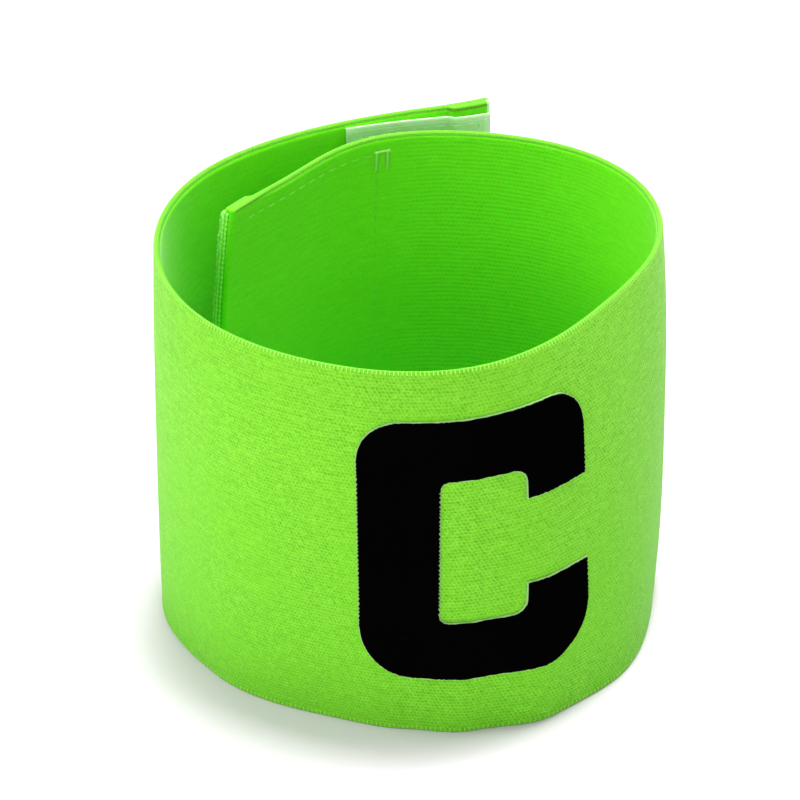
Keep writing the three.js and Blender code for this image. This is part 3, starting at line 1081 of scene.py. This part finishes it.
def backTack(distance, high, face):
    # close zigzag bars where a row starts and ends
    length, width = stitching["tackLength"], stitching["tackWidth"]
    paths = []
    bars = [((distance, high), (distance, high - length)),
            ((distance + width, high), (distance + width, high - length)),
            ((distance - 0.0004, high + 0.0001), (distance + width + 0.0004, high + 0.0001))]
    turns = 27
    t = np.linspace(0, 1, turns)
    swing = np.where(np.arange(turns) % 2, 1, -1) * stitching["tackSwing"]
    for start, stop in bars:
        ds, dh = stop[0] - start[0], stop[1] - start[1]
        reach = math.hypot(ds, dh)
        along = start[0] + ds * t - dh / reach * swing
        height = start[1] + dh * t + ds / reach * swing
        level = face(along)
        paths.append(wallPoint(along, height, level + np.sign(level) * 0.00012))
    return paths


def beadedCord(distance, offset):
    # a binding thread that runs up a folded end between its two layers, caught at each weft
    heights = np.arange(0.0007, stripShape["height"] - 0.0006, 0.0002)
    beads = np.abs(np.sin(math.pi * heights / stitching["beadPitch"]))
    thick = stitching["beadNeck"] + stitching["bead"] * beads
    wobble = np.sin(heights * 1900.0) * 0.00003
    return wallPoint(distance + wobble, heights, offset), thick


def makeStitches():
    low, high = stitching["fromEdge"], stripShape["height"] - stitching["fromEdge"]
    innerStart, innerStop = stitching["innerStart"], stitching["innerStop"]
    outerStart, outerStop = stitching["outerStart"], stitching["outerStop"]
    innerRows, innerSeams = boxOfRows(innerStart + 0.003, innerStop, innerFace, low, high)
    innerSeams = innerSeams[:len(innerSeams) // 2]
    patchRows, patchSeams = boxOfRows(innerStart, innerStop, loopPatchFace, low, high)
    innerRows += patchRows + patchSeams
    tapeRows, tapeSeams = boxOfRows(outerStart, outerStop, hookPatchFace, low, high)
    outerRows, outerSeams = boxOfRows(outerStart, outerStop, outerFace, low, high)
    tacks = []
    for distance, face in ((innerStop - 0.0002, innerFace), (outerStart, outerFace)):
        tacks += backTack(distance, high + 0.0004, face)
        tacks += backTack(distance, low + stitching["tackLength"], face)
    half = stripShape["cloth"] / 2
    innerCord, innerBeads = beadedCord(0.00010, half)
    hemCord, hemBeads = beadedCord(0.00016, half + hem["layer"])
    outerCord, outerBeads = beadedCord(stripShape["length"] - 0.00022, -half)
    cords, beads = [innerCord, hemCord, outerCord], [innerBeads, hemBeads, outerBeads]
    thread, fine = stitching["thread"], stitching["seamThread"]
    pieces = [
        makeThreads("inner_end_stitches", innerRows, thread, sewingThread, 5),
        makeThreads("inner_end_seam", innerSeams, fine, seamThread, 5),
        makeThreads("outer_end_stitches", outerRows + outerSeams, thread, sewingThread, 5),
        makeThreads("hook_tape_stitches", tapeRows + tapeSeams, thread * 0.6, hookPlastic, 5),
        makeThreads("back_tacks", tacks, thread * 1.5, tackThread, 5),
        makeThreads("end_bindings", cords, beads, tackThread, 6),
    ]
    for piece in pieces:
        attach(piece, "root")


makeStitches()
print("stitches made")

# Room: plain pale floor, pale surround and soft boxes
room = {
    "floor": (0.67, 0.64, 0.67, 1),
    "floorWorn": (0.66, 0.63, 0.66, 1),
    "surround": (1.0, 1.0, 1.0, 1),
    "surroundStrength": 0.58,
    "reach": 6.0,
    "aimHeight": 0.03,
    "lights": [
        {"name": "overhead_soft", "place": (0.08, 0.14, 1.20), "size": 0.36, "power": 26.5},
        {"name": "left_soft", "place": (-0.90, -0.05, 0.70), "size": 0.8, "power": 7.0},
        {"name": "front_soft", "place": (-0.40, -1.25, 0.18), "size": 1.0, "power": 7.5},
    ],
}


def makeRoom():
    mesh = bpy.data.meshes.new("floor")
    reach = room["reach"]
    corners = [(-reach, -reach, 0), (reach, -reach, 0), (reach, reach, 0), (-reach, reach, 0)]
    mesh.from_pydata(corners, [], [(0, 1, 2, 3)])
    sheet = NodeSheet("floor_paper")
    grain = sheet.noise(30.0, 3.0)
    pale = sheet.mix(sheet.times(grain, 0.2), room["floor"], room["floorWorn"])
    rough = sheet.add(0.8, sheet.times(grain, 0.1))
    mesh.materials.append(sheet.base(pale, rough, {"Specular IOR Level": 0.1}))
    floor = bpy.data.objects.new("floor", mesh)
    scene.collection.objects.link(floor)
    world = bpy.data.worlds.new("pale_surround")
    world.use_nodes = True
    background = world.node_tree.nodes["Background"]
    background.inputs["Color"].default_value = room["surround"]
    background.inputs["Strength"].default_value = room["surroundStrength"]
    scene.world = world
    for light in room["lights"]:
        data = bpy.data.lights.new(light["name"], "AREA")
        data.shape = "SQUARE"
        data.size = light["size"]
        data.energy = light["power"]
        lamp = bpy.data.objects.new(light["name"], data)
        lamp.location = light["place"]
        aim = Vector((0, 0, room["aimHeight"])) - Vector(light["place"])
        lamp.rotation_euler = aim.to_track_quat("-Z", "Y").to_euler()
        scene.collection.objects.link(lamp)


makeRoom()
print("room made")
